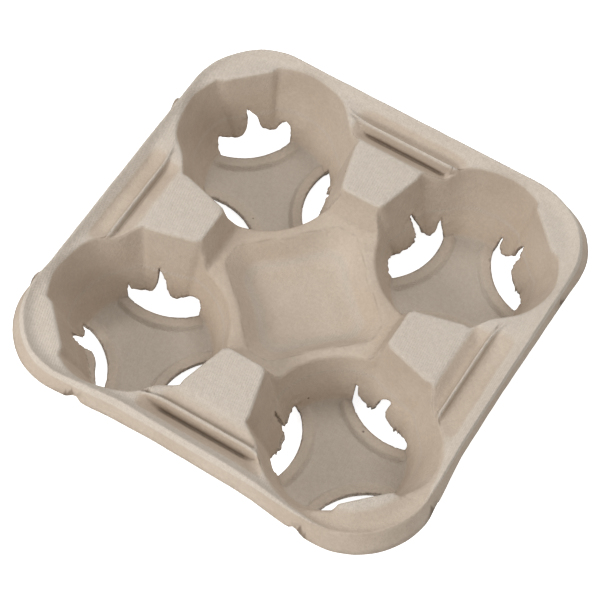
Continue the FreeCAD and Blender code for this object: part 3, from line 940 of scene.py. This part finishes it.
def pulp_material():
    n = Nodes("moulded_pulp")
    place = n.add("ShaderNodeTexCoord").outputs["Object"]
    split = n.add("ShaderNodeSeparateXYZ", Vector=place)
    height = split.outputs["Z"]
    broad = n.noise(place, BROAD_SCALE, 4.0, 0.5)
    blotch = n.noise(place, BLOTCH_SCALE, 4.0, 0.6)
    grain = n.noise(place, GRAIN_SCALE, 5.0, 0.65)
    fibre_place = n.add("ShaderNodeMapping", Vector=place, Scale=(1.0, 0.35, 0.6)).outputs[0]
    fibre = n.noise(fibre_place, FIBRE_SCALE, 4.0, 0.6, 0.6)
    colour = n.toward(n.ramp(broad, 0.35, 0.65), linear(*TAN_LOW), TAN_HIGH)
    colour = n.toward(n.ramp(blotch, 0.38, 0.72, 0.0, 0.3), colour, BLOTCH_TAN)
    # the screened faces, floors and tops, are paler and greyer
    floors = n.times(n.ramp(height, *FLOOR_ENDS, 1.0, 0.0), n.ramp(height, *FLOOR_BEGINS))
    tops = n.ramp(height, *TOP_BEGINS)
    bowl = n.times(n.ramp(height, *BOWL_BEGINS), n.ramp(height, *BOWL_ENDS, 1.0, 0.0))
    colour = n.toward(n.times(floors, 0.85), colour, FLOOR_GREY)
    colour = n.toward(n.times(tops, 0.7), colour, TOP_PALE)
    colour = n.toward(n.times(bowl, 0.45), colour, FLOOR_GREY)
    # painted shade, darker in the creases and hollows, and darker frayed edges of the windows
    colour = n.toward(n.times(n.ramp(n.layer("crease_shade_share"), 0.08, 0.6), 0.72), colour, CREASE_PAINTED_SHADE)
    # painted shade in the broad hollows
    colour = n.toward(n.times(n.ramp(n.layer("hollow_shade_share"), 0.2, 0.9), 0.22), colour, HOLLOW_PAINTED_SHADE)
    frayed = n.times(n.ramp(n.layer("torn"), 0.55, 1.0), n.ramp(fibre, 0.42, 0.62))
    colour = n.toward(n.times(frayed, 0.55), colour, FRAYED_BROWN)
    colour = n.toward(n.times(n.ramp(grain, 0.3, 0.7), 0.22), colour, SPECK_BROWN)
    # pinholes, in some fields only
    spots = n.add("ShaderNodeTexVoronoi", Vector=place, Scale=PINHOLE_SCALE)
    fields = n.ramp(n.noise(place, PINHOLE_FIELDS, 1.0, 0.5), 0.56, 0.6)
    pinholes = n.times(n.ramp(spots.outputs["Distance"], 0.024, 0.045, 1.0, 0.0), fields)
    colour = n.toward(n.times(pinholes, 0.7), colour, PINHOLE_BROWN)
    # the weave of the forming screen
    weave = n.times(n.math("SINE", n.times(split.outputs["X"], WEAVE_TURNS)),
                    n.math("SINE", n.times(split.outputs["Y"], WEAVE_TURNS)))
    screened = n.math("MAXIMUM", n.math("MAXIMUM", floors, tops), bowl)
    weave = n.times(n.times(weave, screened), 0.22)
    colour = n.toward(n.ramp(weave, 0.0, 0.22, 0.0, 0.13), colour, WEAVE_BROWN)
    relief = n.math("ADD", n.times(grain, 0.6), n.times(fibre, 0.5))
    relief = n.math("ADD", relief, n.math("ADD", weave, n.times(blotch, 0.8)))
    relief = n.math("SUBTRACT", relief, pinholes)
    bump = n.add("ShaderNodeBump", Strength=0.4, Distance=0.0012, Height=relief)
    rough = n.ramp(grain, 0.2, 0.8, 0.82, 0.96)
    return n.finish(n.add("ShaderNodeBsdfPrincipled", Base_Color=colour, Roughness=rough,
                          Normal=bump.outputs[0], Specular_IOR_Level=0.2))


def white_floor():
    """A pale floor that is seen as white apart from the object's shadow."""
    n = Nodes("studio_floor")
    light = n.add("ShaderNodeLightPath")
    seen = n.math("MAXIMUM", light.outputs["Is Camera Ray"],
                  n.math("MAXIMUM", light.outputs["Is Glossy Ray"], light.outputs["Is Transmission Ray"]))
    plain = n.add("ShaderNodeBsdfDiffuse", Color=(0.86, 0.86, 0.86, 1.0))
    glow = n.add("ShaderNodeEmission", Color=(1.0, 1.0, 1.0, 1.0), Strength=0.85)
    both = n.add("ShaderNodeAddShader", i0=plain.outputs[0], i1=glow.outputs[0])
    return n.finish(n.add("ShaderNodeMixShader", Fac=seen, i1=plain.outputs[0], i2=both.outputs[0]))


# The lamps: name, degrees round, degrees up and watts. All stand at one distance, in metres.
LAMPS = (("key", -120.0, 30.0, 8.7), ("front", -90.0, 30.0, 5.0), ("back_right", 45.0, 60.0, 5.2),
         ("back_left", 135.0, 60.0, 5.0))
LAMP_DISTANCE = 1.5
LAMP_SIZE = 0.5
LAMP_TARGET = Vector((0.0, 0.0, 0.02))
SKY_LIGHT = 0.28
FLOOR_SIZE = 6.0


def aim(thing, target, roll=0.0):
    toward = (target - thing.location).normalized()
    turn = toward.to_track_quat("-Z", "Y").to_matrix()
    thing.rotation_euler = (turn @ Matrix.Rotation(math.radians(roll), 3, "Z")).to_euler()


def add_lamp(name, turn, up, power):
    light = bpy.data.lights.new(name, "AREA")
    light.shape = "DISK"
    light.size = LAMP_SIZE
    light.energy = power
    lamp = bpy.data.objects.new(name, light)
    bpy.context.scene.collection.objects.link(lamp)
    level = LAMP_DISTANCE * math.cos(math.radians(up))
    lamp.location = (level * math.cos(math.radians(turn)), level * math.sin(math.radians(turn)),
                     LAMP_DISTANCE * math.sin(math.radians(up)))
    aim(lamp, LAMP_TARGET)


def studio():
    """The floor, the sky's even light and the lamps."""
    bpy.ops.mesh.primitive_plane_add(size=FLOOR_SIZE, location=(0.0, 0.0, 0.0))
    floor = bpy.context.object
    floor.name = "studio_floor"
    floor.data.materials.append(white_floor())
    world = bpy.context.scene.world or bpy.data.worlds.new("studio_world")
    bpy.context.scene.world = world
    world.use_nodes = True
    back = world.node_tree.nodes.get("Background")
    back.inputs["Color"].default_value = (1.0, 1.0, 1.0, 1.0)
    back.inputs["Strength"].default_value = SKY_LIGHT
    for lamp in LAMPS:
        add_lamp(*lamp)


# The camera, in metres, degrees and millimetres
CAMERA_AT = Vector((0.2704, -0.48705, 0.97901))
CAMERA_TARGET = Vector((-0.00064, -0.00191, 0.025))
CAMERA_ROLL = 2.79
CAMERA_LENS = 138.41
CAMERA_SENSOR = 36.0
CAMERA_END = 20.0


def camera():
    data = bpy.data.cameras.new("camera")
    data.lens = CAMERA_LENS
    data.sensor_width = CAMERA_SENSOR
    data.clip_end = CAMERA_END
    view = bpy.data.objects.new("camera", data)
    bpy.context.scene.collection.objects.link(view)
    view.location = CAMERA_AT
    aim(view, CAMERA_TARGET, CAMERA_ROLL)
    bpy.context.scene.camera = view


shell = build_shell()
shell.data.materials.append(pulp_material())
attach(shell, "root")
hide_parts("carrier")
studio()
camera()
bpy.context.scene.view_settings.view_transform = "Standard"
